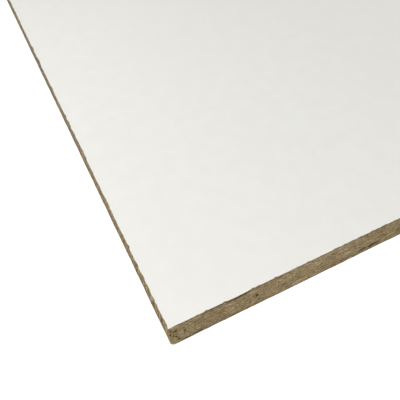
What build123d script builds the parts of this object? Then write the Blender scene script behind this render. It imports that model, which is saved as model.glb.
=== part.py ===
from build123d import *
import os

# White melamine board: a particleboard panel faced with a thin melamine film on both
# broad sides, and left bare where it was sawn, along all four edges.
# Units are millimetres. X runs along the length, Y along the width and Z up.
# The origin is the centre of the underside.

# Driving dimensions of the board
panel_length = 1220.0
panel_width = 610.0
panel_thickness = 16.0
film_thickness = 0.15

# Break-out left by the saw in the front edge, in the core right under the upper film
breakout_from_corner = 26.8
breakout_length = 10.8
breakout_depth = 0.55
breakout_height = 2.4

# Knock that took off the lower corner where the front and left edges meet
knock_along_length = 1.2
knock_along_width = 0.9
knock_height = 1.8

# Chips that the saw broke out of the upper film along the front and left edges, each with its
# distance from the corner between them, its length and its depth
front_film_chips = [
    (14.6, 1.6, 0.30),
    (22.0, 1.4, 0.26),
    (33.5, 1.6, 0.30),
    (43.2, 1.4, 0.30),
    (57.5, 1.6, 0.18),
    (87.2, 2.0, 0.22),
    (93.6, 1.6, 0.25),
]
left_film_chips = [
    (6.0, 1.8, 0.12),
    (10.2, 2.0, 0.20),
    (12.8, 2.6, 0.22),
    (18.4, 4.8, 0.24),
    (24.5, 1.8, 0.12),
]

# Levels and corner that the pieces share
core_bottom = film_thickness
core_top = panel_thickness - film_thickness
left_edge = -panel_length / 2
front_edge = -panel_width / 2


def arc_radius(length, depth):
    """Radius of an arc that is this long across its ends and this deep."""
    return (length**2 / 4 + depth**2) / (2 * depth)


# The scoop is a cone that stands on its tip side. In plan it cuts a shallow arc from the
# front edge, and it fades out at breakout_height below the film.
scoop_radius = arc_radius(breakout_length, breakout_depth)
scoop_centre = (left_edge + breakout_from_corner, front_edge - scoop_radius + breakout_depth)
scoop_drop = 2 * breakout_height
scoop_tip_radius = scoop_radius - scoop_drop * breakout_depth / breakout_height

# The knocked-off corner ends at one sloping plane, which faces into the board
knock_plane = Plane(
    origin=(left_edge + knock_along_length, front_edge, 0),
    z_dir=(1 / knock_along_length, 1 / knock_along_width, 1 / knock_height),
)

# Core, between the two films
with BuildPart() as particleboard_core:
    with BuildSketch(Plane.XY.offset(core_bottom)):
        Rectangle(panel_length, panel_width)
    extrude(amount=core_top - core_bottom)
    with Locations((*scoop_centre, core_top)):
        Cone(
            bottom_radius=scoop_tip_radius,
            top_radius=scoop_radius,
            height=scoop_drop,
            align=(Align.CENTER, Align.CENTER, Align.MAX),
            mode=Mode.SUBTRACT,
        )
    split(bisect_by=knock_plane, keep=Keep.TOP)

# Upper film, whole over the break-out, with the chips cut from its rim
with BuildPart() as melamine_face_top:
    with BuildSketch(Plane.XY.offset(core_top)):
        Rectangle(panel_length, panel_width)
        for from_corner, length, depth in front_film_chips:
            radius = arc_radius(length, depth)
            with Locations((left_edge + from_corner, front_edge + depth - radius)):
                Circle(radius, mode=Mode.SUBTRACT)
        for from_corner, length, depth in left_film_chips:
            radius = arc_radius(length, depth)
            with Locations((left_edge + depth - radius, front_edge + from_corner)):
                Circle(radius, mode=Mode.SUBTRACT)
    extrude(amount=film_thickness)

# Lower film, which lost the same corner as the core
with BuildPart() as melamine_face_bottom:
    with BuildSketch(Plane.XY):
        Rectangle(panel_length, panel_width)
    extrude(amount=core_bottom)
    split(bisect_by=knock_plane, keep=Keep.TOP)

particleboard_core.part.label = "particleboard_core"
melamine_face_top.part.label = "melamine_face_top"
melamine_face_bottom.part.label = "melamine_face_bottom"

os.makedirs("parts", exist_ok=True)
export_step(particleboard_core.part, "parts/particleboard_core.step")
export_step(melamine_face_top.part, "parts/melamine_face_top.step")
export_step(melamine_face_bottom.part, "parts/melamine_face_bottom.step")
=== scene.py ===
import math

import bpy
import numpy as np
from mathutils import Matrix, Vector


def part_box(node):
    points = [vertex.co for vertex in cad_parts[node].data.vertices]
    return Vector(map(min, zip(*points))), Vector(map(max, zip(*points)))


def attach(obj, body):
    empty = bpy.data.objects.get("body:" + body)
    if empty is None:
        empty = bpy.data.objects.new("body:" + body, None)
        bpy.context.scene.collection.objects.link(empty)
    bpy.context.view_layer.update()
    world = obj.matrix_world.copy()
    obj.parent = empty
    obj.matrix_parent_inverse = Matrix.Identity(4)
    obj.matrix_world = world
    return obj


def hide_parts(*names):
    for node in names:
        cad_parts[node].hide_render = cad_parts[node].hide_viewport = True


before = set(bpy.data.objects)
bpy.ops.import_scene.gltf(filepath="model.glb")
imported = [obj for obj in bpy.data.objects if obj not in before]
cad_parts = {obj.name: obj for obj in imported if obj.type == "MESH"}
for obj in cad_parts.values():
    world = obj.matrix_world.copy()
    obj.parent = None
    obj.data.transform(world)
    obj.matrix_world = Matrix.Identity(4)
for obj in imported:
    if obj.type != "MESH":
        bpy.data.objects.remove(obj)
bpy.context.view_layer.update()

MM = 0.001

# Places that the CAD nodes give
core_low, core_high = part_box("particleboard_core")
top_film_low, top_film_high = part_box("melamine_face_top")
bottom_film_low, bottom_film_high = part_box("melamine_face_bottom")
board_length = core_high.x - core_low.x
board_width = core_high.y - core_low.y
corner = Vector((core_low.x, core_low.y, top_film_high.z))

# Damage near the photographed corner: the film sags over a break-out in the front edge,
# and the lower corner is knocked off
DENT_MIDDLE = 26.8 * MM
DENT_HALF = 5.4 * MM
DENT_SAG = 0.50 * MM
DENT_WIDTH = 2.6 * MM
DENT_STEEPNESS = 1.5
DENT_HEIGHT = 4 * MM
BREAKOUT_DEPTH = 0.55 * MM
BREAKOUT_HEIGHT = 2.4 * MM
# Painted shade in the scar of the break-out, right under the film
SCAR_SHADE_MIDDLE = 27.6 * MM
SCAR_SHADE_HALF = 6.1 * MM
SCAR_SHADE_HEIGHT = 2.7 * MM
SCAR_SHADE_FADE = 0.8 * MM
# The scar's painted shade is this many times its reach, less this much, so that its ends fade out
SCAR_SHADE_BREADTH = 2.2
SCAR_SHADE_ENDS = 0.1
KNOCK_ALONG = 1.2 * MM
KNOCK_ACROSS = 0.9 * MM
KNOCK_HEIGHT = 1.8 * MM
# The painted shade of the hollows fades out over this share of what the knock took off
KNOCK_FADE = 0.25
# How far the fibres are frayed round the lower corner, in length, width and height, and how far
# along the left edge the painted highlight by the upright arris reaches and how strong it is. The
# breadths are where they have faded out, in these reaches.
FRAYED_REACH = np.array([3.2, 3.0, 5.0]) * MM
FRAYED_BREADTH = 1.3
ARRIS_HIGHLIGHT_ALONG = 6.0 * MM
ARRIS_HIGHLIGHT = 0.35
ARRIS_HIGHLIGHT_BREADTH = 1.2

# Camera: the photograph's, solved from the four arris lines that meet at the corner
CAMERA_FROM_CORNER = Vector((-15.76, -66.21, 160.78)) * MM
CAMERA_YAW = math.radians(-24.417)
CAMERA_PITCH = math.radians(37.160)
CAMERA_ROLL = math.radians(-2.625)
CAMERA_LENS = 44.078
CAMERA_SENSOR = 36.0


def make_camera():
    data = bpy.data.cameras.new("photo_camera")
    data.sensor_width = CAMERA_SENSOR
    data.lens = CAMERA_LENS
    data.clip_start = 0.01
    data.clip_end = 100.0
    camera = bpy.data.objects.new("photo_camera", data)
    bpy.context.scene.collection.objects.link(camera)
    camera.matrix_world = (
        Matrix.Translation(corner + CAMERA_FROM_CORNER)
        @ Matrix.Rotation(CAMERA_YAW, 4, "Z")
        @ Matrix.Rotation(CAMERA_PITCH, 4, "X")
        @ Matrix.Rotation(CAMERA_ROLL, 4, "Z")
    )
    bpy.context.scene.camera = camera


# Node helpers. Inputs are plain values or the sockets that feed them.
def add_node(tree, kind, inputs=None, **settings):
    made = tree.nodes.new(kind)
    for name, value in settings.items():
        setattr(made, name, value)
    for key, value in (inputs or {}).items():
        if isinstance(value, bpy.types.NodeSocket):
            tree.links.new(value, made.inputs[key])
        else:
            made.inputs[key].default_value = value
    return made


def new_material(name):
    material = bpy.data.materials.new(name)
    material.use_nodes = True
    tree = material.node_tree
    return material, tree, tree.nodes["Principled BSDF"]


def math_node(tree, operation, first, second, clamp=False):
    made = add_node(tree, "ShaderNodeMath", {0: first, 1: second}, operation=operation, use_clamp=clamp)
    return made.outputs[0]


def vector_node(tree, operation, first, second):
    made = add_node(tree, "ShaderNodeVectorMath", {0: first, 1: second}, operation=operation)
    return made.outputs[0]


def noise_node(tree, vector, scale, detail):
    made = add_node(tree, "ShaderNodeTexNoise", {"Vector": vector, "Scale": scale, "Detail": detail})
    return made.outputs["Fac"]


def mix_value(tree, factor, first, second):
    made = add_node(tree, "ShaderNodeMix", {0: factor, 2: first, 3: second}, data_type="FLOAT")
    return made.outputs[0]


def mix_colour(tree, factor, first, second, blend="MIX"):
    inputs = {"Factor": factor, 6: first, 7: second}
    made = add_node(tree, "ShaderNodeMix", inputs, data_type="RGBA", blend_type=blend)
    return made.outputs[2]


def colour_ramp(tree, value, stops):
    made = add_node(tree, "ShaderNodeValToRGB", {"Fac": value})
    points = made.color_ramp.elements
    for place, _ in stops[2:]:
        points.new(place)
    for point, (place, colour) in zip(points, stops):
        point.position = place
        point.color = colour
    return made.outputs["Color"]


def ramp(tree, value, low, high, to_low=0.0, to_high=1.0):
    """Eases from to_low to to_high as the value goes from low to high."""
    made = add_node(
        tree,
        "ShaderNodeMapRange",
        {"Value": value, "From Min": low, "From Max": high, "To Min": to_low, "To Max": to_high},
        interpolation_type="SMOOTHSTEP",
    )
    return made.outputs["Result"]


def mark(tree, name):
    """What the mesh holds under this name."""
    return add_node(tree, "ShaderNodeAttribute", attribute_name=name).outputs["Fac"]


def about_one(tree, value, strength):
    """1 plus this share of a value about 0."""
    return math_node(tree, "ADD", math_node(tree, "MULTIPLY", value, strength), 1.0)


def add_bump(tree, shader, height, strength, distance):
    made = add_node(tree, "ShaderNodeBump", {"Height": height, "Strength": strength, "Distance": distance})
    tree.links.new(made.outputs["Normal"], shader.inputs["Normal"])


# Stage: white floor and world, and softboxes. Two of them light the photographed corner and
# fall off along the board, and three over the board light the rest. Each has its offset from
# the point that it lights, that point's offset from the corner, its size and its level. A level
# of 1 from lamps and world together renders a colour as it is written.
SOFTBOXES = {
    "key_softbox": ((-0.07, 0.10, 0.20), (0, 0, 0), 0.30, 0.470),
    "front_softbox": ((-0.055, -0.15, 0.20), (0.055, 0, 0), 0.30, 0.481),
    "overhead_softbox": ((0, 0, 0.484), (1.01, 0.405, 0), 1.0, 1.348),
    "back_softbox": ((0, 0, 0.234), (0.06, 0.605, 0), 0.60, 1.04),
    "between_softbox": ((0, 0, 0.20), (0.41, 0.055, 0), 0.30, 0.10),
}
WORLD_LEVEL = 0.36
FLOOR_SIZE = 40.0
FLOOR_ALBEDO = 0.90
# Seen directly, the floor is this share of plain white, and the rest of it holds the shadow
FLOOR_WHITENESS = 0.78
FLOOR_GLOW = 1.22


def seen_directly(tree):
    """1 for camera, glossy and transmission rays, which see the plain white background."""
    path = add_node(tree, "ShaderNodeLightPath")
    seen = math_node(tree, "ADD", path.outputs["Is Camera Ray"], path.outputs["Is Glossy Ray"], True)
    return math_node(tree, "ADD", seen, path.outputs["Is Transmission Ray"], True)


def make_world():
    world = bpy.data.worlds.new("studio")
    bpy.context.scene.world = world
    world.use_nodes = True
    tree = world.node_tree
    background = tree.nodes["Background"]
    background.inputs["Color"].default_value = (1, 1, 1, 1)
    strength = add_node(
        tree,
        "ShaderNodeMapRange",
        {"Value": seen_directly(tree), "To Min": WORLD_LEVEL, "To Max": 1.0},
    )
    tree.links.new(strength.outputs["Result"], background.inputs["Strength"])


def make_floor():
    material, tree, shader = new_material("studio_floor")
    tree.nodes.remove(shader)
    lit = add_node(tree, "ShaderNodeBsdfDiffuse", {"Color": (FLOOR_ALBEDO, FLOOR_ALBEDO, FLOOR_ALBEDO, 1)})
    white = add_node(tree, "ShaderNodeEmission", {"Strength": FLOOR_GLOW})
    share = math_node(tree, "MULTIPLY", seen_directly(tree), FLOOR_WHITENESS)
    surface = add_node(tree, "ShaderNodeMixShader", {0: share, 1: lit.outputs[0], 2: white.outputs[0]})
    tree.links.new(surface.outputs[0], tree.nodes["Material Output"].inputs["Surface"])
    half = FLOOR_SIZE / 2
    mesh = bpy.data.meshes.new("studio_floor")
    rim = [(-half, -half, 0), (half, -half, 0), (half, half, 0), (-half, half, 0)]
    mesh.from_pydata(rim, [], [(0, 1, 2, 3)])
    mesh.materials.append(material)
    floor = bpy.data.objects.new("studio_floor", mesh)
    bpy.context.scene.collection.objects.link(floor)


def make_lamps():
    """Square softboxes, each of which gives the point that it lights its share of the level."""
    for name, (away, lit, size, level) in SOFTBOXES.items():
        away = Vector(away)
        data = bpy.data.lights.new(name, "AREA")
        data.shape = "SQUARE"
        data.size = size
        data.energy = math.pi**2 * level * away.length_squared
        lamp = bpy.data.objects.new(name, data)
        bpy.context.scene.collection.objects.link(lamp)
        lamp.visible_camera = False
        lamp.location = corner + Vector(lit) + away
        lamp.rotation_euler = away.to_track_quat("Z", "Y").to_euler()


# Mesh builder: points, faces and the map that textures are baked through
SHARP_ANGLE = math.radians(50)


class Piece:
    def __init__(self):
        self.points = []
        self.count = 0
        self.faces = []
        self.maps = []
        self.cuts = []
        self.marks = {}

    def add_points(self, x, y, z):
        """Adds points and gives their numbers, in the shape of the arrays."""
        x, y, z = np.broadcast_arrays(x, y, z)
        self.points.append(np.stack([x.ravel(), y.ravel(), z.ravel()], 1))
        first = self.count
        self.count += x.size
        return np.arange(first, self.count).reshape(x.shape)

    def add_faces(self, corners, places, cut=0.0):
        """corners holds one row of point numbers a face, places the map position of each. cut
        is 1 on the faces that the saw made."""
        self.faces.append(corners)
        self.maps.append(np.clip(places, 0, 1).reshape(-1, 2))
        self.cuts.append(np.full(len(corners), cut))

    def make(self, name, material, node):
        points = np.concatenate(self.points)
        mesh = bpy.data.meshes.new(name)
        faces = [face for block in self.faces for face in block.tolist()]
        mesh.from_pydata(points.tolist(), [], faces)
        layer = mesh.uv_layers.new(name="OFBake")
        layer.data.foreach_set("uv", np.concatenate(self.maps).astype(np.float32).ravel())
        cut = mesh.attributes.new("cut", "FLOAT", "FACE")
        cut.data.foreach_set("value", np.concatenate(self.cuts).astype(np.float32))
        for mark, values in self.marks.items():
            attribute = mesh.attributes.new(mark, "FLOAT", "POINT")
            attribute.data.foreach_set("value", values.astype(np.float32))
        mesh.materials.append(material)
        mesh.shade_smooth()
        mesh.set_sharp_from_angle(angle=SHARP_ANGLE)
        piece = bpy.data.objects.new(name, mesh)
        bpy.context.scene.collection.objects.link(piece)
        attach(piece, "root")
        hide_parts(node)
        return piece


def smooth_step(value):
    value = np.clip(value, 0, 1)
    return value * value * (3 - 2 * value)


# Stations round the board. They are close together along the photographed stretch of the
# front and left sides and spread out past it. Each side has a multiple of 256 of them, so
# that the rings of a flat face can halve them eight times.
HALVINGS = 8
FRONT_STATIONS, RIGHT_STATIONS, BACK_STATIONS, LEFT_STATIONS = 1024, 512, 768, 768
FRONT_REACH, FRONT_GAP = 112 * MM, 0.32 * MM
LEFT_REACH, LEFT_GAP = 205 * MM, 0.40 * MM
RING_INSETS = [0.0] + [inset * MM for inset in (1.2, 2.6, 5.5, 12.0, 26.0, 56.0, 120.0, 240.0)]
LEVEL_TOLERANCE = 1e-7


def graded_steps(side_length, count, reach, gap):
    """Evenly spaced up to reach, then with gaps that grow steadily to the side's end."""
    near = round(reach / gap)
    far = np.arange(count - near) / (count - near)
    rest = side_length - reach
    even = (count - near) * gap
    return np.concatenate([np.arange(near) * gap, reach + even * far + (rest - even) * far**2])


class Stations:
    """x, y: places on the sharp rectangle. out_x, out_y: outward. side: 0 front, 1 right,
    2 back, 3 left. along: distance from the side's first corner. run: distance round the board.
    gap: distance to the next station. to_corner: distance to the nearest corner."""

    def __init__(self):
        front = graded_steps(board_length, FRONT_STATIONS, FRONT_REACH, FRONT_GAP)
        right = np.arange(RIGHT_STATIONS) * board_width / RIGHT_STATIONS
        back = np.arange(BACK_STATIONS) * board_length / BACK_STATIONS
        left_back = graded_steps(board_width, LEFT_STATIONS, LEFT_REACH, LEFT_GAP)
        left = board_width - np.append(left_back[1:], board_width)[::-1]
        self.side = np.repeat([0, 1, 2, 3], [FRONT_STATIONS, RIGHT_STATIONS, BACK_STATIONS, LEFT_STATIONS])
        self.along = np.concatenate([front, right, back, left])
        west, south, east, north = core_low.x, core_low.y, core_high.x, core_high.y
        starts = np.array([[west, south], [east, south], [east, north], [west, north]])
        ways = np.array([[1, 0], [0, 1], [-1, 0], [0, -1]])
        outs = np.array([[0, -1], [1, 0], [0, 1], [-1, 0]])
        place = starts[self.side] + ways[self.side] * self.along[:, None]
        self.x, self.y = place.T
        out = outs[self.side].astype(float)
        corners = self.along == 0
        out[corners] += outs[self.side[corners] - 1]
        self.out_x, self.out_y = out.T
        self.run = np.cumsum([0, board_length, board_width, board_length])[self.side] + self.along
        self.gap = np.diff(np.append(self.run, self.run[0] + 2 * (board_length + board_width)))
        lengths = np.array([board_length, board_width, board_length, board_width])[self.side]
        self.to_corner = np.minimum(self.along, lengths - self.along)

    def ring(self, number):
        """x and y of a ring inside the rim, with every 2**number-th station."""
        step, inset = 2**number, RING_INSETS[number]
        across = board_width / 2 - inset
        half = board_length / 2 - inset
        x = self.x[::step] * half / (board_length / 2)
        y = self.y[::step] * across / (board_width / 2)
        return x, y


stations = Stations()


def next_of(ring):
    return np.roll(ring, -1)


def fill_flat(piece, rim, level, upward, place_map):
    """Closes a flat side from its rim inward, with rings of half as many points each time."""
    outer = rim
    outer_xy = np.stack([stations.x, stations.y], 1)
    for number in range(1, HALVINGS + 1):
        x, y = stations.ring(number)
        inner = piece.add_points(x, y, np.full(len(x), level))
        inner_xy = np.stack([x, y], 1)
        a, b, c = outer[0::2], outer[1::2], next_of(outer[0::2])
        a_xy, b_xy, c_xy = outer_xy[0::2], outer_xy[1::2], np.roll(outer_xy[0::2], -1, axis=0)
        q, q_xy = next_of(inner), np.roll(inner_xy, -1, axis=0)
        triangles = (
            ((a, b, inner), (a_xy, b_xy, inner_xy)),
            ((b, q, inner), (b_xy, q_xy, inner_xy)),
            ((b, c, q), (b_xy, c_xy, q_xy)),
        )
        for corners, spots in triangles:
            add_turned(piece, np.stack(corners, 1), place_map(np.stack(spots, 1)), upward)
        outer, outer_xy = inner, inner_xy
    add_turned(piece, outer[None, :], place_map(outer_xy[None, :, :]), upward)


def add_turned(piece, corners, places, upward):
    """Adds faces that are counter-clockwise from above, turned over if they face down."""
    if not upward:
        corners, places = corners[:, ::-1], places[:, ::-1]
    piece.add_faces(corners, places)


def sag_at(near, front, inset, z):
    """How far the dented arris is pressed down, most at the rim of the upper face."""
    reach = np.clip(1 - ((near - DENT_MIDDLE) / DENT_HALF) ** 2, 0, 1)
    across = np.clip(1 - inset / DENT_WIDTH, 0, 1) ** DENT_STEEPNESS
    height = np.clip((z - (corner.z - DENT_HEIGHT)) / DENT_HEIGHT, 0, 1) ** 2
    return np.where(front, DENT_SAG * reach * across * height, 0.0)


def frayed_and_highlight_at(points):
    """1 where fibres are crushed and pale round the lower corner, and the painted highlight on the
    left edge along the upright arris over it."""
    away = points - np.array([core_low.x, core_low.y, bottom_film_low.z])
    low_corner = smooth_step(FRAYED_BREADTH - np.linalg.norm(away / FRAYED_REACH, axis=1))
    on_left = away[:, 0] < away[:, 1]
    # Painted highlight on the left edge by the upright arris
    arris_highlight = smooth_step(ARRIS_HIGHLIGHT_BREADTH - away[:, 1] / ARRIS_HIGHLIGHT_ALONG) * on_left
    return np.maximum(low_corner, ARRIS_HIGHLIGHT * arris_highlight)


def knocked(points):
    """Brings points past the sloping plane of the knocked-off lower corner back to it, and gives
    how far past it each was, from 0 to 1."""
    normal = np.array([1 / KNOCK_ALONG, 1 / KNOCK_ACROSS, 1 / KNOCK_HEIGHT])
    low = np.array([core_low.x, core_low.y, bottom_film_low.z])
    past = 1 - (points - low) @ normal
    short = np.clip(past, 0, None)[:, None]
    return points + short * normal / (normal @ normal), np.clip(past / KNOCK_FADE, 0, 1)


# Relief of the sawn edges. Torn chips lie a little below the saw's plane, and there are
# small gaps between chips. Each kind has the share of the edge that it takes, its least and
# greatest length and height, and its greatest depth.
TORN_CHIPS = (0.90, (0.8 * MM, 4.6 * MM), (0.26 * MM, 0.8 * MM), 0.08 * MM)
GAPS = (0.022, (0.35 * MM, 1.2 * MM), (0.30 * MM, 0.65 * MM), 0.26 * MM)
LEAST_DEPTH = 0.3
CHIP_SLOPE = 0.16
CHIP_STEEPNESS = 3
# The chips are finer in the face layers, and the relief is shallower at the rims
FACE_LAYER = 2.2 * MM
FACE_FINENESS = 0.5
RIM_LAYER = 0.5 * MM
RIM_RELIEF = 0.2
CORNER_FADE = 1.6 * MM

# Hollows that the photograph shows in the front and left edges, each with its place from the
# corner, its place below the face, its length, its height, its tilt in degrees and how dark
# and deep it is as a share of the deepest. A breadth above 1 widens it past its length and
# height, where it fades out.
# The darkness column sets how dark the painted shade in each hollow is
HOLLOW_DEPTH = 0.40 * MM
HOLLOW_BREADTH = 1.3
HOLLOW_SHADE_GAIN = 1.5
FRONT_HOLLOWS = [
    (0.3, 1.2, 0.9, 1.6, 0, 0.40),
    (0.9, 3.0, 1.0, 1.3, 0, 0.60),
    (2.2, 5.0, 1.9, 1.6, -8, 0.95),
    (0.3, 6.3, 0.8, 2.0, 0, 0.75),
    (2.3, 7.2, 0.8, 1.1, 0, 0.55),
    (1.4, 8.2, 0.9, 1.5, 0, 0.75),
    (6.0, 7.8, 1.2, 1.6, 10, 0.80),
    (2.6, 10.0, 2.0, 0.9, -55, 0.75),
    (3.5, 12.6, 2.2, 0.8, -60, 0.70),
    (7.4, 14.9, 3.4, 0.6, 0, 0.30),
    (11.9, 4.6, 2.4, 1.0, -8, 0.42),
    (10.8, 14.3, 5.6, 1.0, 2, 0.50),
    (15.7, 1.2, 3.0, 1.2, 0, 0.55),
    (19.6, 1.1, 4.0, 1.1, 0, 0.60),
    (18.7, 7.1, 0.8, 0.8, 0, 0.35),
    (26.8, 4.6, 0.8, 1.5, 0, 0.50),
    (32.0, 1.8, 1.8, 0.8, 0, 0.40),
    (36.0, 7.9, 1.5, 1.7, 0, 1.00),
    (35.8, 11.2, 0.7, 0.7, 0, 0.30),
    (32.4, 14.6, 1.6, 0.9, 0, 0.55),
    (42.2, 0.9, 1.8, 0.8, 0, 0.30),
    (50.5, 8.4, 0.9, 1.3, 0, 0.35),
    (47.0, 8.1, 0.6, 0.8, 0, 0.25),
    (60.6, 14.3, 2.2, 0.7, 0, 0.30),
    (64.7, 7.5, 1.2, 1.2, 0, 0.40),
    (97.4, 6.8, 1.6, 1.0, 0, 0.25),
    (85.8, 12.8, 4.8, 2.2, 0, 0.52),
    (90.8, 12.8, 4.8, 2.2, 4, 0.60),
    (94.4, 13.0, 3.6, 1.4, -6, 0.50),
]
LEFT_HOLLOWS = [
    (0.9, 2.1, 0.8, 2.0, 0, 0.35),
    (14.7, 7.6, 1.2, 5.0, 0, 0.45),
    (19.1, 5.7, 1.4, 6.0, 0, 0.45),
    (29.5, 9.0, 1.6, 5.0, 0, 0.30),
    (45.0, 6.5, 1.4, 4.0, 0, 0.30),
    (64.0, 9.5, 1.8, 5.0, 0, 0.30),
]
# Patches of reddish bark in the front edge, and of pale fibres bared on the left edge, which
# lean away from the corner as they go down. Each has its place from the corner, its place
# below the face, its length, its height and its strength.
PATCH_BREADTH = 1.2
FRONT_BARK = [
    (0.4, 4.6, 1.4, 6.0, 0.40),
    (37.0, 1.6, 2.6, 2.4, 0.30),
    (42.0, 3.8, 8.0, 7.0, 0.16),
    (43.2, 0.8, 2.8, 1.7, 0.80),
    (54.6, 8.0, 3.0, 3.0, 0.26),
    (61.2, 2.0, 3.2, 2.4, 0.28),
]
LEFT_PALE = [
    (16.8, 7.0, 2.8, 15.0, 0.50),
    (20.0, 0.6, 5.0, 2.2, 0.65),
]
PALE_LEAN = 0.5


def relief(heights, kind, seed):
    """Depth of the torn chips or of the gaps at each station and height."""
    cover, lengths, thicknesses, deepest = kind
    rng = np.random.default_rng(seed)
    depth = np.zeros((len(stations.run), len(heights)))
    bottom, top = heights[0], heights[-1]
    total = 2 * (board_length + board_width)
    mean_area = math.pi / 4 * np.mean(lengths) * np.mean(thicknesses)
    count = int(cover * total * (top - bottom) / mean_area)
    middle = rng.uniform(0, total, count)
    height = rng.uniform(bottom, top, count)
    to_face = np.minimum(height - bottom, top - height)
    coarse = FACE_FINENESS + (1 - FACE_FINENESS) * smooth_step(to_face / FACE_LAYER)
    half_length = rng.uniform(*lengths, count) / 2 * coarse
    half_thick = rng.uniform(*thicknesses, count) / 2 * coarse
    slope = np.tan(rng.normal(0, CHIP_SLOPE, count))
    level = rng.uniform(LEAST_DEPTH, 1.0, count) * deepest
    reach = half_thick + half_length * np.abs(slope)
    first = np.searchsorted(stations.run, middle - half_length)
    last = np.searchsorted(stations.run, middle + half_length)
    low = np.searchsorted(heights, height - reach)
    high = np.searchsorted(heights, height + reach)
    for i in np.flatnonzero((last > first) & (high > low)):
        along = stations.run[first[i]:last[i], None] - middle[i]
        up = heights[None, low[i]:high[i]] - height[i] - along * slope[i]
        inside = 1 - (along / half_length[i]) ** 2 - (up / half_thick[i]) ** 2
        spot = depth[first[i]:last[i], low[i]:high[i]]
        np.maximum(spot, level[i] * np.clip(CHIP_STEEPNESS * inside, 0, 1), out=spot)
    rim = np.minimum(heights - bottom, top - heights)
    return depth * (RIM_RELIEF + (1 - RIM_RELIEF) * smooth_step(rim / RIM_LAYER))


def placed_hollows(heights):
    """Depth and darkness of the hollows that the photograph shows."""
    depth = np.zeros((len(stations.run), len(heights)))
    painted_shade = np.zeros_like(depth)
    front = [(0, stations.along, *row) for row in FRONT_HOLLOWS]
    left = [(3, board_width - stations.along, *row) for row in LEFT_HOLLOWS]
    for side, from_corner, middle, below, across, high, tilt, deep in front + left:
        turn = math.radians(tilt)
        right = from_corner[:, None] - middle * MM
        up = heights[None, :] - (corner.z - below * MM)
        u = (right * math.cos(turn) + up * math.sin(turn)) / (across * MM / 2)
        v = (up * math.cos(turn) - right * math.sin(turn)) / (high * MM / 2)
        inside = np.clip(HOLLOW_BREADTH - u**2 - v**2, 0, 1)
        share = np.where((stations.side == side)[:, None], inside, 0)
        depth = np.maximum(depth, share * deep * HOLLOW_DEPTH)
        painted_shade = np.maximum(painted_shade, smooth_step(HOLLOW_SHADE_GAIN * share) * deep)
    # Painted shade: each hollow is darkened in its colour
    return depth, painted_shade


def breakout(heights):
    """Share of the break-out's depth, most right under the film, and the painted shade of its scar."""
    front = (stations.side == 0)[:, None]
    below = corner.z - heights[None, :]
    place = (stations.along[:, None] - DENT_MIDDLE) / DENT_HALF
    reach = np.where(front, np.clip(1 - place**2, 0, 1), 0)
    depth = np.sqrt(reach) * smooth_step(1 - below / BREAKOUT_HEIGHT)
    place = (stations.along[:, None] - SCAR_SHADE_MIDDLE) / SCAR_SHADE_HALF
    reach = np.where(front, np.clip(1 - place**2, 0, 1), 0)
    ends = smooth_step(SCAR_SHADE_BREADTH * reach - SCAR_SHADE_ENDS)
    lower_end = smooth_step((SCAR_SHADE_HEIGHT * np.sqrt(reach) - below) / SCAR_SHADE_FADE)
    return depth, ends * lower_end


def patched(side, from_corner, table, lean, heights):
    """Share of the patches on one side at each station and height."""
    share = np.zeros((len(stations.run), len(heights)))
    for middle, below, across, high, strength in table:
        down = corner.z - heights[None, :] - below * MM
        u = (from_corner[:, None] - middle * MM - lean * down) / (across * MM / 2)
        v = down / (high * MM / 2)
        patch = smooth_step(PATCH_BREADTH - u**2 - v**2)
        share = np.maximum(share, np.where((stations.side == side)[:, None], strength * patch, 0))
    return share


# Painted light and shade along the front edge, darkest at the upright arris and paler farther on: place
# and tone
FRONT_LIGHT_AND_SHADE = [(0, -1.3), (1.7, -0.50), (28, -0.45), (42, 0.30), (70, 0.40), (85, -0.10), (100, 0.0)]
# The left edge is warmer near the corner: place and hue
LEFT_HUES = [(0, 0.60), (20, 0.40), (60, 0.25), (120, 0.10), (200, -0.20)]
# Tall streaks on the left edge: paler and darker torn fibres, with painted light and shade in place of
# the light that the torn relief catches. Each zone from the lower film to the upper one has its own mean
# tone.
STREAK_EVERY = 1.0 * MM
STREAK_TONES = (3.6, [-0.8, -0.4, 0.1, 0.8])
STREAK_HUES = (1.1, [0.0, 0.0, 0.0, 0.0])
STREAK_LIMITS = (-2.8, 3.4)
STREAK_FADE = 3 * MM


def streaks(heights, kind, seed):
    """Tone or hue of the streaks, about 0, at each station and height."""
    spread, means = kind
    rng = np.random.default_rng(seed)
    knots = np.arange(0, board_width + STREAK_EVERY, STREAK_EVERY)
    tones = []
    for mean in means:
        tone = rng.normal(0, spread, len(knots))
        # Each streak stands out from its neighbours, so that no long stretch is darker or paler
        tones.append(mean + tone - (np.roll(tone, 1) + np.roll(tone, -1)) / 2)
    zones = (heights - heights[0]) / (heights[-1] - heights[0]) * (len(means) - 1)
    rows = np.stack([np.interp(stations.along, knots, tone) for tone in tones])
    low = np.minimum(zones.astype(int), len(means) - 2)
    blend = smooth_step(zones - low)[:, None]
    tone = rows[low] * (1 - blend) + rows[low + 1] * blend
    # They fade out at the arris, and where the stations are farther apart than the streaks
    share = smooth_step(stations.to_corner / STREAK_FADE) * np.minimum(STREAK_EVERY / 2 / stations.gap, 1)
    return np.where(stations.side == 3, share, 0)[:, None] * np.clip(tone.T, *STREAK_LIMITS)


def graded(side, from_corner, table, heights):
    """Tone or hue that changes along one side, at each station and height."""
    places, tones = np.array(table).T
    tone = np.interp(from_corner, places * MM, tones) * (stations.side == side)
    return np.repeat(tone[:, None], len(heights), 1)


# Pale paper bared under the upper film comes and goes along the torn left edge, and there is
# a little of it along the others
PAPER_FADE = 6 * MM
PAPER_EVERY = 1.6 * MM
PAPER_SHARES = (-0.5, 0.8)
PAPER_ELSEWHERE = 0.2


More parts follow.
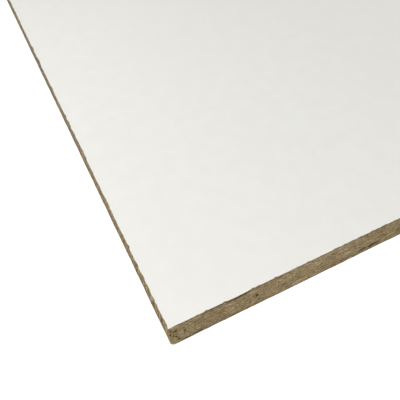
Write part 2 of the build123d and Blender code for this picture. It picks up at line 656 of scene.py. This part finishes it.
def bare_paper(heights, seed):
    """Share of bare paper at each station and height, next to the upper film alone."""
    rng = np.random.default_rng(seed)
    knots = np.arange(0, board_width + PAPER_EVERY, PAPER_EVERY)
    torn = np.interp(stations.along, knots, rng.uniform(*PAPER_SHARES, len(knots)))
    torn *= smooth_step(stations.to_corner / PAPER_FADE)
    paper = np.zeros((len(stations.run), len(heights)))
    paper[:, -1] = np.where(stations.side == 3, np.clip(torn, 0, 1), PAPER_ELSEWHERE)
    return paper


# Rims of the two faces: slightly ragged, with chips where the saw broke the film. A kind is
# one chip for every so much of the rim, its least and greatest half length, and its least
# and greatest depth. Each chip is deepest past its middle, where the saw came out of it.
RAGGED = 0.02 * MM
UPPER_CHIPS = (5.0 * MM, (0.25 * MM, 1.2 * MM), (0.05 * MM, 0.24 * MM))
LOWER_CHIPS = (7.0 * MM, (1.5 * MM, 5.0 * MM), (0.03 * MM, 0.13 * MM))
CHIP_LEAN = 0.45
CHIP_EVENNESS = (0.85, 1.0)
# The raggedness eases in from the corners, where it starts this far into the easing
CORNER_RAGGED = 0.1
# The left edge is torn this much deeper than the others, in chips that are as much longer
LEFT_TEAR = 2.0
ARRIS_WEAR = 0.9 * MM
# Chips that the photograph shows: place from the corner, half length and depth
FRONT_FILM_CHIPS = [
    (14.6, 0.8, 0.30),
    (22.0, 0.7, 0.26),
    (33.5, 0.8, 0.30),
    (43.2, 0.7, 0.30),
    (57.5, 0.8, 0.18),
    (87.2, 1.0, 0.22),
    (93.6, 0.8, 0.25),
]
LEFT_FILM_CHIPS = [
    (6.0, 0.9, 0.12),
    (10.2, 1.0, 0.20),
    (12.8, 1.3, 0.22),
    (18.4, 2.4, 0.24),
    (24.5, 0.9, 0.12),
]


def ragged_rim(kind, front_chips, left_chips, left_tear, seed):
    """How far a face falls short of the sharp rim at each station."""
    every, halves, depths = kind
    rng = np.random.default_rng(seed)
    short = np.abs(rng.normal(0, RAGGED, len(stations.run)))
    short *= np.where(stations.side == 3, left_tear, 1)
    total = 2 * (board_length + board_width)
    chips = []
    for _ in range(int(total / every)):
        middle = rng.uniform(0, total)
        torn = left_tear if middle > total - board_width else 1
        chips.append((middle, rng.uniform(*halves) * torn, rng.uniform(*depths) * torn))
    chips += [(near * MM, half * MM, deep * MM) for near, half, deep in front_chips]
    chips += [(total - near * MM, half * MM, deep * MM) for near, half, deep in left_chips]
    for middle, half, deep in chips:
        share = np.clip((stations.run - middle) / half, -1, 1)
        chip = deep * np.sqrt(1 - share**2) * (1 + CHIP_LEAN * share)
        short = np.maximum(short, chip * rng.uniform(*CHIP_EVENNESS, len(share)))
    return short * smooth_step(stations.to_corner / CORNER_FADE + CORNER_RAGGED)


upper_rim = ragged_rim(UPPER_CHIPS, FRONT_FILM_CHIPS, LEFT_FILM_CHIPS, LEFT_TEAR, seed=21)
lower_rim = ragged_rim(LOWER_CHIPS, [], [], 1, seed=22)


# Map of the sawn edges: the rim is cut into strips, one above the other. The flat sides that
# another piece covers are small patches above them, the upper and the lower side by side.
EDGE_STRIPS = 15
STRIP_MARGIN = 3 * MM
STRIP_PAD = 0.06
HIDDEN_UPPER, HIDDEN_LOWER = 0.02, 0.12
HIDDEN_ACROSS, HIDDEN_HIGH = 0.08, 0.04
HIDDEN_LEVEL = 0.955
# Map of the films: the seen side fills the lower half, with this margin, and the wall round
# it lies above
FILM_MARGIN = 0.002
FILM_WALL = [0.56, 0.56, 0.58, 0.58]


def strip_map(run, share_up):
    """Map places of edge faces: run and share_up have one row of corners a face."""
    strip_length = 2 * (board_length + board_width) / EDGE_STRIPS
    strip = np.floor(run.mean(1) / strip_length)[:, None]
    u = (run - strip * strip_length + STRIP_MARGIN) / (strip_length + 2 * STRIP_MARGIN)
    v = (strip + STRIP_PAD + share_up * (1 - 2 * STRIP_PAD)) / (EDGE_STRIPS + 1)
    return np.stack([u, v], -1)


def hidden_map(first_u):
    """Map of a flat side that another piece covers."""

    def place(spots):
        u = first_u + HIDDEN_ACROSS * (spots[..., 0] / board_length + 0.5)
        v = HIDDEN_LEVEL + HIDDEN_HIGH * (spots[..., 1] / board_width + 0.5)
        return np.stack([u, v], -1)

    return place


CORE_ROWS = 28
ROW_EVENNESS = 0.6
CORNER_WEAR = 0.05 * MM
GAP_SHADE_FROM = 0.20 * MM
# The relief gets shallower by this power of the gap where the stations spread out
SPREAD_POWER = 0.7


def core_heights():
    """Levels of the rows of points, which are closer together at the arrises."""
    rows = np.linspace(-1, 1, CORE_ROWS + 1)
    rows = ROW_EVENNESS * rows + (1 - ROW_EVENNESS) * np.sin(math.pi / 2 * rows)
    return (core_low.z + core_high.z) / 2 + (core_high.z - core_low.z) / 2 * rows


def sawn_relief(heights):
    """Depth of the sawn edges, the painted shade of their hollows and gaps, and the painted shade of the
    scar.
    """
    torn = relief(heights, TORN_CHIPS, seed=11)
    torn *= np.where(stations.side == 3, LEFT_TEAR, 1)[:, None]
    gaps = relief(heights, GAPS, seed=12)
    hollows, painted_shade = placed_hollows(heights)
    broken, scar_shade = breakout(heights)
    coarser = (FRONT_GAP / np.maximum(stations.gap, FRONT_GAP))[:, None] ** SPREAD_POWER
    depth = np.maximum(torn, gaps) * coarser
    depth = np.maximum(np.maximum(depth, hollows), BREAKOUT_DEPTH * broken)
    worn = lower_rim[:, None] * smooth_step(1 - (heights - heights[0]) / ARRIS_WEAR)
    depth = np.maximum(depth, worn)
    # Painted shade in the gaps between chips, darker where they are deeper
    painted_shade = np.maximum(painted_shade, smooth_step(gaps / GAP_SHADE_FROM) * coarser)
    fade = smooth_step(stations.to_corner / CORNER_FADE)[:, None]
    return depth * fade + CORNER_WEAR * (1 - fade), painted_shade, scar_shade


def edge_marks(heights, painted_shade, scar_shade):
    """What the wood's material reads at each station and height."""
    from_corner = board_width - stations.along
    hue = streaks(heights, STREAK_HUES, seed=33) + graded(3, from_corner, LEFT_HUES, heights)
    pale = patched(3, from_corner, LEFT_PALE, PALE_LEAN, heights)
    return {
        # Painted shade in the hollows and gaps
        "pit_shade": painted_shade,
        # Painted shade in the scar of the break-out
        "scar_shade": scar_shade,
        "bark": patched(0, stations.along, FRONT_BARK, 0.0, heights),
        # Torn fibres, and painted light and shade on the torn relief
        "streak": streaks(heights, STREAK_TONES, seed=31),
        "hue": hue,
        # Painted light and shade along the front edge
        "tone": graded(0, stations.along, FRONT_LIGHT_AND_SHADE, heights),
        "paper": np.maximum(bare_paper(heights, seed=32), pale),
    }


def add_sawn_faces(piece, side):
    """Adds the faces of the sawn edges, from one row of point numbers a station."""
    after = np.roll(side, -1, axis=0)
    quads = np.stack([side[:, :-1], after[:, :-1], after[:, 1:], side[:, 1:]], -1).reshape(-1, 4)
    run_next = stations.run + stations.gap
    run = np.stack([stations.run, run_next, run_next, stations.run], 1)
    run = np.repeat(run[:, None, :], CORE_ROWS, 1).reshape(-1, 4)
    share = np.arange(CORE_ROWS) / CORE_ROWS
    up = np.stack([share, share, share + 1 / CORE_ROWS, share + 1 / CORE_ROWS], 1)
    up = np.repeat(up[None], len(stations.run), 0).reshape(-1, 4)
    piece.add_faces(quads, strip_map(run, up), 1.0)


def make_core(material):
    piece = Piece()
    heights = core_heights()
    depth, painted_shade, scar_shade = sawn_relief(heights)
    x = stations.x[:, None] - stations.out_x[:, None] * depth
    y = stations.y[:, None] - stations.out_y[:, None] * depth
    front = (stations.side == 0)[:, None]
    z = heights[None, :] - sag_at(stations.along[:, None], front, 0.0, heights[None, :])
    side = piece.add_points(x, y, z)
    add_sawn_faces(piece, side)
    fill_flat(piece, side[:, -1], core_high.z, True, hidden_map(HIDDEN_UPPER))
    fill_flat(piece, side[:, 0], core_low.z, False, hidden_map(HIDDEN_LOWER))
    sag_rings(piece, core_high.z)
    # Where a chip in the film bares the flat side, paper shows
    flat = np.zeros(piece.count - depth.size)
    for name, values in edge_marks(heights, painted_shade, scar_shade).items():
        piece.marks[name] = np.append(values, flat + 1 if name == "paper" else flat)
    points = np.concatenate(piece.points)
    piece.marks["frayed_and_highlight"] = frayed_and_highlight_at(points)
    points, past = knocked(points)
    # The painted shade fades where the knock took the hollows off
    piece.marks["pit_shade"] *= 1 - past
    piece.points = [points]
    return piece.make("sawn_particleboard", material, "particleboard_core")


def sag_rings(piece, level):
    """Bends the inner rings of an upper flat side down with the dented arris."""
    points = np.concatenate(piece.points)
    inset = points[:, 1] - core_low.y
    flat = (np.abs(points[:, 2] - level) < LEVEL_TOLERANCE) & (inset > RING_INSETS[1] / 2)
    sag = sag_at(points[:, 0] - core_low.x, flat, inset, points[:, 2])
    points[:, 2] -= sag
    piece.points = [points]


def film_map(spots):
    """Map of the seen side of a film."""
    u = spots[..., 0] / board_length + 0.5
    v = (spots[..., 1] + board_width / 2) / board_length
    return FILM_MARGIN + (1 - 2 * FILM_MARGIN) * np.stack([u, v], -1)


def make_film(name, material, node, low, high, short, face_up):
    piece = Piece()
    x = stations.x - stations.out_x * short
    y = stations.y - stations.out_y * short
    sag = sag_at(stations.along, (stations.side == 0) & face_up, 0.0, core_high.z)
    lower, upper = [piece.add_points(x, y, level - sag) for level in (low.z, high.z)]
    wall = np.stack([lower, next_of(lower), next_of(upper), upper], 1)
    run_next = stations.run + stations.gap
    total = 2 * (board_length + board_width)
    u = np.stack([stations.run, run_next, run_next, stations.run], 1) / total
    v = np.broadcast_to(FILM_WALL, u.shape)
    piece.add_faces(wall, np.stack([u, v], -1), 1.0)
    hidden = hidden_map(HIDDEN_UPPER)
    fill_flat(piece, upper, high.z, True, film_map if face_up else hidden)
    fill_flat(piece, lower, low.z, False, hidden if face_up else film_map)
    if face_up:
        for level in (low.z, high.z):
            sag_rings(piece, level)
    else:
        points, _ = knocked(np.concatenate(piece.points))
        piece.points = [points]
    return piece.make(name, material, node)


# Particleboard: coarse, middling and small chips that lie over a ground of fines, flattened
# along the board. Each chip has its own tone and hue.
WOOD_TONES = [
    (0.00, (0.107, 0.066, 0.019, 1)),
    (0.10, (0.212, 0.150, 0.066, 1)),
    (0.50, (0.355, 0.271, 0.153, 1)),
    (0.88, (0.477, 0.375, 0.223, 1)),
    (1.00, (0.675, 0.553, 0.354, 1)),
]
WOOD_HUES = [
    (0.00, (0.92, 1.05, 0.84, 1)),
    (0.28, (0.98, 1.01, 0.91, 1)),
    (0.72, (1.01, 0.99, 1.09, 1)),
    (1.00, (1.16, 0.90, 0.86, 1)),
]
WOOD_CREVICE = (0.105, 0.063, 0.020, 1)
WOOD_FRAYED_AND_HIGHLIGHT = (0.480, 0.405, 0.205, 1)
WOOD_BARK = (0.300, 0.160, 0.080, 1)
# Colour of the painted shade in hollows and gaps
PIT_SHADE_COLOUR = (0.045, 0.031, 0.008, 1)
# Colour of the painted shade in the scar of the break-out under the film
SCAR_SHADE_COLOUR = (0.112, 0.050, 0.022, 1)
WOOD_PAPER = (0.620, 0.520, 0.400, 1)
CREVICE_STRENGTH = 0.55
FRAYED_AND_HIGHLIGHT_STRENGTH = 0.7
FRONT_LIGHT_AND_SHADE_STRENGTH = 0.19
STREAK_STRENGTH = 0.25
# How much the hue mark changes the red, green and blue
HUE_STRENGTHS = (0.10, -0.03, -0.24)
# Where the wood is darker, blue falls off faster than red
SHADE_POWERS = (0.88, 1.0, 1.22)
# Painted shade: how dark the wood is right under each film, and how far that band reaches
RIM_SHADE = 0.52
RIM_SHADE_REACH = 1.3 * MM
# Length and height of the chips of each layer, and the share of it that they cover
CHIP_LAYERS = [(0.36 * MM, 0.23 * MM, 0.80), (1.10 * MM, 0.36 * MM, 0.32), (3.60 * MM, 0.55 * MM, 0.14)]
# Each layer's pattern is this many metres away from the one before
LAYER_SHIFT = 0.7
CHIP_WANDER = (0.9 * MM, 0.9 * MM, 0.4 * MM)
WANDER_SCALE = 900.0
# Length and height of the fines, of the cells that crevices run between and of the grain
FINES_SIZE = (0.28 * MM, 0.17 * MM)
CREVICE_SIZE = (1.30 * MM, 0.55 * MM)
GRAIN_SIZE = (0.8 * MM, 0.10 * MM)
# Where in their noise the fines are darkest and palest
FINES_RANGE = (0.25, 0.75)
# Crevices fade out between these distances from a cell's border, as shares of the cell, and
# noise lets only stretches of them show
CREVICE_FADE = (0.10, 0.02)
CREVICE_NOISE_SCALE = 700.0
CREVICE_SHOWS = (0.48, 0.60)
# Where the grain is least and greatest, and how light the wood is there. The blotches likewise.
GRAIN_SHADES = (0.25, 0.75, 0.86, 1.14)
BLOTCH_SCALE = 110.0
BLOTCH_SHADES = (0.3, 0.7, 0.89, 1.11)
# Where the painted shade of hollows and of the scar starts to show and shows most, and how strongly
PIT_SHADE_SHOWS = (0.12, 0.70, 0.0, 0.95)
SCAR_SHADE_SHOWS = (0.15, 0.60, 0.0, 0.85)
WOOD_SPECULAR = 0.10
# Roughness of the darkest and of the palest chips
WOOD_ROUGHNESS = (0.95, 0.80)
TONE_HEIGHT = 0.6
# Strength and height of the bumps
WOOD_BUMPS = (0.5, 0.08 * MM)


def stretched(tree, vector, along, high):
    """Coordinates in which a chip of this length and height measures one."""
    return vector_node(tree, "MULTIPLY", vector, (1 / along, 1 / along, 1 / high))


def wandering(tree, place):
    """Coordinates shifted a little to and fro, so that the chips have ragged outlines."""
    noise = add_node(tree, "ShaderNodeTexNoise", {"Vector": place, "Scale": WANDER_SCALE, "Detail": 2.0})
    offset = vector_node(tree, "SUBTRACT", noise.outputs["Color"], (0.5, 0.5, 0.5))
    shift = vector_node(tree, "MULTIPLY", offset, CHIP_WANDER)
    return vector_node(tree, "ADD", place, shift)


def chip_pattern(tree, place):
    """Tone and hue of the chip at each place, from 0 to 1, and the crevices between chips."""
    fines = noise_node(tree, stretched(tree, place, *FINES_SIZE), 1.0, detail=2.0)
    tone = ramp(tree, fines, *FINES_RANGE)
    hue = fines
    warped = wandering(tree, place)
    for number, (along, high, cover) in enumerate(CHIP_LAYERS):
        moved = vector_node(tree, "ADD", warped, (LAYER_SHIFT * number,) * 3)
        cells = stretched(tree, moved, along, high)
        chips = add_node(tree, "ShaderNodeTexVoronoi", {"Vector": cells, "Scale": 1.0})
        parts = add_node(tree, "ShaderNodeSeparateColor", {"Color": chips.outputs["Color"]})
        there = math_node(tree, "LESS_THAN", parts.outputs[2], cover)
        tone = mix_value(tree, there, tone, parts.outputs[0])
        hue = mix_value(tree, there, hue, parts.outputs[1])
    edges = add_node(
        tree,
        "ShaderNodeTexVoronoi",
        {"Vector": stretched(tree, warped, *CREVICE_SIZE), "Scale": 1.0},
        feature="DISTANCE_TO_EDGE",
    )
    near = ramp(tree, edges.outputs["Distance"], *CREVICE_FADE)
    shows = ramp(tree, noise_node(tree, place, CREVICE_NOISE_SCALE, detail=1.0), *CREVICE_SHOWS)
    return tone, hue, math_node(tree, "MULTIPLY", near, shows)


def wood_shades(tree, place, grain):
    """Lightness of the wood in red, green and blue, by grain, blotches, painted shade under the films and
    marks, some of them painted light and shade.
    """
    blotch = ramp(tree, noise_node(tree, place, BLOTCH_SCALE, detail=3.0), *BLOTCH_SHADES)
    shade = math_node(tree, "MULTIPLY", ramp(tree, grain, *GRAIN_SHADES), blotch)
    # Painted shade: the wood is darker in a band right under each film
    height = add_node(tree, "ShaderNodeSeparateXYZ", {"Vector": place}).outputs["Z"]
    from_middle = math_node(tree, "SUBTRACT", height, (core_low.z + core_high.z) / 2)
    to_rim = math_node(tree, "ABSOLUTE", from_middle, 0.0)
    half = (core_high.z - core_low.z) / 2
    rim = ramp(tree, to_rim, half - RIM_SHADE_REACH, half, 1.0, RIM_SHADE)
    shade = math_node(tree, "MULTIPLY", shade, rim)
    # The tone mark is painted light and shade along the front edge, and the streak mark is partly painted
    # light and shade on the left edge
    for name, strength in (("tone", FRONT_LIGHT_AND_SHADE_STRENGTH), ("streak", STREAK_STRENGTH)):
        shade = math_node(tree, "MULTIPLY", shade, about_one(tree, mark(tree, name), strength))
    channels = {}
    for number, (power, strength) in enumerate(zip(SHADE_POWERS, HUE_STRENGTHS)):
        deeper = math_node(tree, "POWER", shade, power)
        hued = about_one(tree, mark(tree, "hue"), strength)
        channels[number] = math_node(tree, "MULTIPLY", deeper, hued)
    return add_node(tree, "ShaderNodeCombineColor", channels).outputs[0]


def particleboard_material():
    material, tree, shader = new_material("particleboard")
    place = add_node(tree, "ShaderNodeTexCoord").outputs["Object"]
    tone, hue, crevice = chip_pattern(tree, place)
    grain = noise_node(tree, stretched(tree, place, *GRAIN_SIZE), 1.0, detail=2.0)
    colour = colour_ramp(tree, tone, WOOD_TONES)
    colour = mix_colour(tree, 1.0, colour, colour_ramp(tree, hue, WOOD_HUES), "MULTIPLY")
    deep = math_node(tree, "MULTIPLY", crevice, CREVICE_STRENGTH)
    colour = mix_colour(tree, deep, colour, WOOD_CREVICE)
    colour = mix_colour(tree, 1.0, colour, wood_shades(tree, place, grain), "MULTIPLY")
    # Frayed pale fibres round the lower corner, and a painted highlight on the left edge by the upright
    # arris
    frayed_and_highlight = math_node(tree, "MULTIPLY", mark(tree, "frayed_and_highlight"), FRAYED_AND_HIGHLIGHT_STRENGTH)
    # Painted shade in hollows, gaps and the scar of the break-out
    pit_shade = ramp(tree, mark(tree, "pit_shade"), *PIT_SHADE_SHOWS)
    scar_shade = ramp(tree, mark(tree, "scar_shade"), *SCAR_SHADE_SHOWS)
    colour = mix_colour(tree, frayed_and_highlight, colour, WOOD_FRAYED_AND_HIGHLIGHT)
    colour = mix_colour(tree, mark(tree, "bark"), colour, WOOD_BARK)
    colour = mix_colour(tree, pit_shade, colour, PIT_SHADE_COLOUR)
    colour = mix_colour(tree, scar_shade, colour, SCAR_SHADE_COLOUR)
    colour = mix_colour(tree, mark(tree, "paper"), colour, WOOD_PAPER)
    tree.links.new(colour, shader.inputs["Base Color"])
    shader.inputs["Specular IOR Level"].default_value = WOOD_SPECULAR
    tree.links.new(ramp(tree, tone, 0.0, 1.0, *WOOD_ROUGHNESS), shader.inputs["Roughness"])
    height = math_node(tree, "ADD", math_node(tree, "MULTIPLY", tone, TONE_HEIGHT), grain)
    add_bump(tree, shader, math_node(tree, "SUBTRACT", height, crevice), *WOOD_BUMPS)
    return material


# Melamine: warm white satin with a faint pressed texture, fainter smudges, the odd speck of
# dust, and a tan cut edge where the saw went through it
FILM_WHITE = (0.892, 0.885, 0.840, 1)
FILM_DEEP = (0.882, 0.874, 0.826, 1)
FILM_SMUDGE = (0.868, 0.860, 0.816, 1)
FILM_DUST = (0.700, 0.690, 0.650, 1)
FILM_CUT = (0.500, 0.410, 0.290, 1)
# The scale of each pattern, and where in it the change starts and ends
CLOUD_SCALE = 9.0
CLOUD_RANGE = (0.35, 0.65)
SMUDGE_SCALE = 130.0
SMUDGE_RANGE = (0.25, 0.75)
SPECK_SCALE = 220.0
SPECK_RARITY = (0.985, 0.99)
SPECK_RIM = (0.12, 0.05)
SPECK_STRENGTH = 0.5
TEXTURE_SCALE = 1400.0
# Where the texture is least and greatest, and how rough the film is there
TEXTURE_ROUGHNESS = (0.3, 0.7, 0.38, 0.46)
# Strength and height of the bumps
FILM_BUMPS = (0.25, 0.02 * MM)


def melamine_material():
    material, tree, shader = new_material("white_melamine")
    place = add_node(tree, "ShaderNodeTexCoord").outputs["Object"]
    cloud = ramp(tree, noise_node(tree, place, CLOUD_SCALE, detail=3.0), *CLOUD_RANGE)
    smudge = ramp(tree, noise_node(tree, place, SMUDGE_SCALE, detail=6.0), *SMUDGE_RANGE)
    specks = add_node(tree, "ShaderNodeTexVoronoi", {"Vector": place, "Scale": SPECK_SCALE})
    kind = add_node(tree, "ShaderNodeSeparateColor", {"Color": specks.outputs["Color"]})
    rare = ramp(tree, kind.outputs[0], *SPECK_RARITY)
    small = ramp(tree, specks.outputs["Distance"], *SPECK_RIM)
    dust = math_node(tree, "MULTIPLY", math_node(tree, "MULTIPLY", rare, small), SPECK_STRENGTH)
    colour = mix_colour(tree, cloud, FILM_WHITE, FILM_DEEP)
    colour = mix_colour(tree, smudge, colour, FILM_SMUDGE)
    colour = mix_colour(tree, dust, colour, FILM_DUST)
    colour = mix_colour(tree, mark(tree, "cut"), colour, FILM_CUT)
    tree.links.new(colour, shader.inputs["Base Color"])
    texture = noise_node(tree, place, TEXTURE_SCALE, detail=2.0)
    tree.links.new(ramp(tree, texture, *TEXTURE_ROUGHNESS), shader.inputs["Roughness"])
    add_bump(tree, shader, texture, *FILM_BUMPS)
    return material


def make_board():
    wood = particleboard_material()
    film = melamine_material()
    core = make_core(wood)
    top = make_film(
        "melamine_top",
        film,
        "melamine_face_top",
        top_film_low,
        top_film_high,
        upper_rim,
        face_up=True,
    )
    under = make_film(
        "melamine_underside",
        film,
        "melamine_face_bottom",
        bottom_film_low,
        bottom_film_high,
        lower_rim,
        face_up=False,
    )


bpy.context.scene.view_settings.view_transform = "Standard"
make_camera()
make_world()
make_floor()
make_lamps()
make_board()
